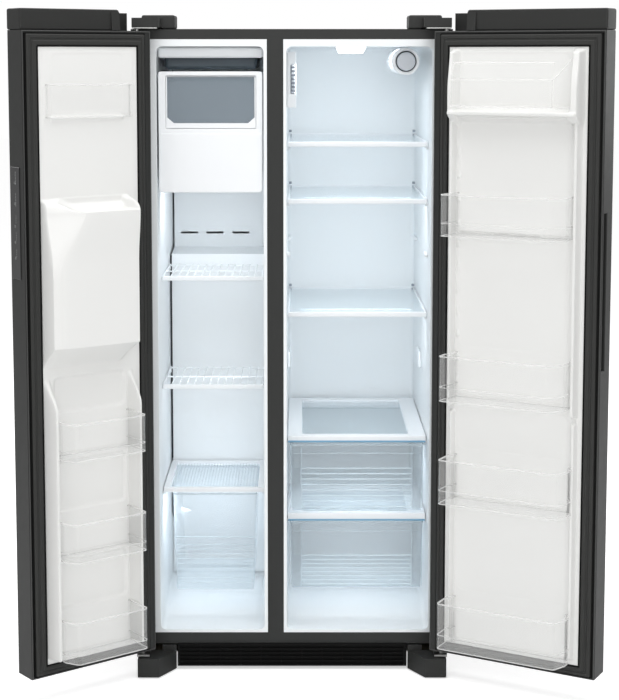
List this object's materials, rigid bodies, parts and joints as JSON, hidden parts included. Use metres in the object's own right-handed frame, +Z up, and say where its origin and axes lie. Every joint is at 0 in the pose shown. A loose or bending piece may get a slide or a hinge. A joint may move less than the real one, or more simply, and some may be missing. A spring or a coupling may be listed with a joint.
{
  "type": "side by side refrigerator",
  "caption": "Charcoal side by side refrigerator with both doors standing open, showing glass shelves, drawers, clear door bins, ice maker and machine room.",
  "frame": {"origin": "on the floor, at the middle of the footprint of the refrigerator with its doors open as stored", "axes": "+X to the user's right, +Y towards the back, +Z up; the doors open towards -Y"},
  "size_m": [1.5037, 1.0427, 1.765],
  "materials": {
    "charcoal_steel": "satin paint",
    "charcoal_plastic": "fine grain",
    "black_plastic": "matt",
    "gasket_rubber": "soft matt",
    "white_liner": "semi gloss",
    "cool_liner": "semi gloss",
    "white_plastic": "semi gloss",
    "clear_plastic": "clear",
    "shelf_glass": "clear, toughened",
    "grey_plastic": "matt",
    "foam": "rigid insulation foam",
    "zinc_steel": "zinc plated",
    "aluminium": "mill finish",
    "black_glass": "high gloss",
    "white_wire": "coated wire"
  },
  "bodies": {
    "cabinet": {"cabinet_wrapper": "charcoal_steel", "cabinet_back": "charcoal_steel", "machine_cover": "black_plastic", "front_frame": "charcoal_steel", "cabinet_foam": "foam", "freezer_liner": "cool_liner", "fridge_liner": "cool_liner", "base_frame": "zinc_steel", "power_inlet": "black_plastic", "compressor": "black_plastic", "condenser_coil": "black_plastic", "evaporator_cover": "white_plastic", "evaporator_coil": "aluminium", "ice_maker": "grey_plastic", "freezer_shelf_upper": "white_wire", "freezer_shelf_lower": "white_wire", "freezer_basket_cover": "white_plastic", "control_housing": "white_plastic", "lamp_cover": "white_plastic", "filter_housing": "white_plastic", "fridge_shelf_1": "shelf_glass", "fridge_shelf_2": "shelf_glass", "fridge_shelf_3": "shelf_glass", "crisper_cover_upper": "white_plastic", "crisper_cover_lower": "white_plastic", "kick_grille": "black_plastic", "left_foot_cover": "charcoal_plastic", "right_foot_cover": "charcoal_plastic", "left_top_hinge": "zinc_steel", "right_top_hinge": "zinc_steel", "left_hinge_cover": "charcoal_plastic", "right_hinge_cover": "charcoal_plastic"},
    "freezer_door": {"freezer_door_panel": "charcoal_steel", "freezer_door_liner": "white_liner", "freezer_door_gasket": "gasket_rubber", "freezer_door_cap": "charcoal_plastic", "control_strip": "black_glass", "dispenser_housing": "black_glass", "freezer_door_bin_1": "clear_plastic", "freezer_door_bin_2": "clear_plastic", "freezer_door_bin_3": "clear_plastic", "freezer_door_bin_4": "clear_plastic"},
    "fridge_door": {"fridge_door_panel": "charcoal_steel", "fridge_door_liner": "white_liner", "fridge_door_gasket": "gasket_rubber", "fridge_door_cap": "charcoal_plastic", "fridge_door_bin_1": "clear_plastic", "fridge_door_bin_2": "clear_plastic", "fridge_door_bin_3": "clear_plastic", "fridge_door_bin_4": "clear_plastic"},
    "rear_rollers": {"rear_rollers": "black_plastic"},
    "condenser_fan": {"condenser_fan": "black_plastic"},
    "evaporator_fan": {"evaporator_fan": "black_plastic"},
    "ice_bin": {"ice_bin": "white_plastic"},
    "freezer_basket": {"freezer_basket": "clear_plastic"},
    "upper_crisper": {"upper_crisper": "clear_plastic"},
    "lower_crisper": {"lower_crisper": "clear_plastic"},
    "filter_cartridge": {"filter_cartridge": "grey_plastic"},
    "dispenser_paddle": {"dispenser_paddle": "grey_plastic"},
    "dairy_door": {"dairy_door": "clear_plastic"}
  },
  "joints": [
    {"name": "freezer_door_hinge", "type": "hinge", "parent": "cabinet", "child": "freezer_door", "pos_m": [-0.44905, -0.2351, 0.89], "axis": [0, 0, -1], "range_deg": [-142.1, 7.9]},
    {"name": "fridge_door_hinge", "type": "hinge", "parent": "cabinet", "child": "fridge_door", "pos_m": [0.34895, -0.2351, 0.89], "axis": [0, 0, 1], "range_deg": [-150.7, 4.3]},
    {"name": "ice_bin_slide", "type": "slide", "parent": "cabinet", "child": "ice_bin", "axis": [0, -1, 0], "range_m": [0, 0.36]},
    {"name": "freezer_basket_slide", "type": "slide", "parent": "cabinet", "child": "freezer_basket", "axis": [0, -1, 0], "range_m": [0, 0.26]},
    {"name": "upper_crisper_slide", "type": "slide", "parent": "cabinet", "child": "upper_crisper", "axis": [0, -1, 0], "range_m": [0, 0.4]},
    {"name": "lower_crisper_slide", "type": "slide", "parent": "cabinet", "child": "lower_crisper", "axis": [0, -1, 0], "range_m": [0, 0.27]},
    {"name": "filter_turn", "type": "hinge", "parent": "cabinet", "child": "filter_cartridge", "pos_m": [0.25195, -0.1241, 1.634], "axis": [0, -1, 0], "range_deg": [0, 90]},
    {"name": "rear_roller_spin", "type": "hinge", "parent": "cabinet", "child": "rear_rollers", "pos_m": [-0.05005, 0.4459, 0.02], "axis": [1, 0, 0], "continuous": true},
    {"name": "condenser_fan_spin", "type": "hinge", "parent": "cabinet", "child": "condenser_fan", "pos_m": [-0.07005, 0.4059, 0.15], "axis": [1, 0, 0], "continuous": true},
    {"name": "evaporator_fan_spin", "type": "hinge", "parent": "cabinet", "child": "evaporator_fan", "pos_m": [-0.26405, 0.3859, 1.19], "axis": [0, 1, 0], "continuous": true},
    {"name": "dispenser_paddle_hinge", "type": "hinge", "parent": "freezer_door", "child": "dispenser_paddle", "pos_m": [-0.58758, -0.32901, 1.15], "axis": [-0.7891, -0.6143, 0], "range_deg": [0, 12], "stiffness_Nm_per_rad": 0.6},
    {"name": "dairy_door_hinge", "type": "hinge", "parent": "fridge_door", "child": "dairy_door", "pos_m": [0.49234, -0.41074, 1.63], "axis": [-0.8721, 0.4894, 0], "range_deg": [0, 80]}
  ]
}
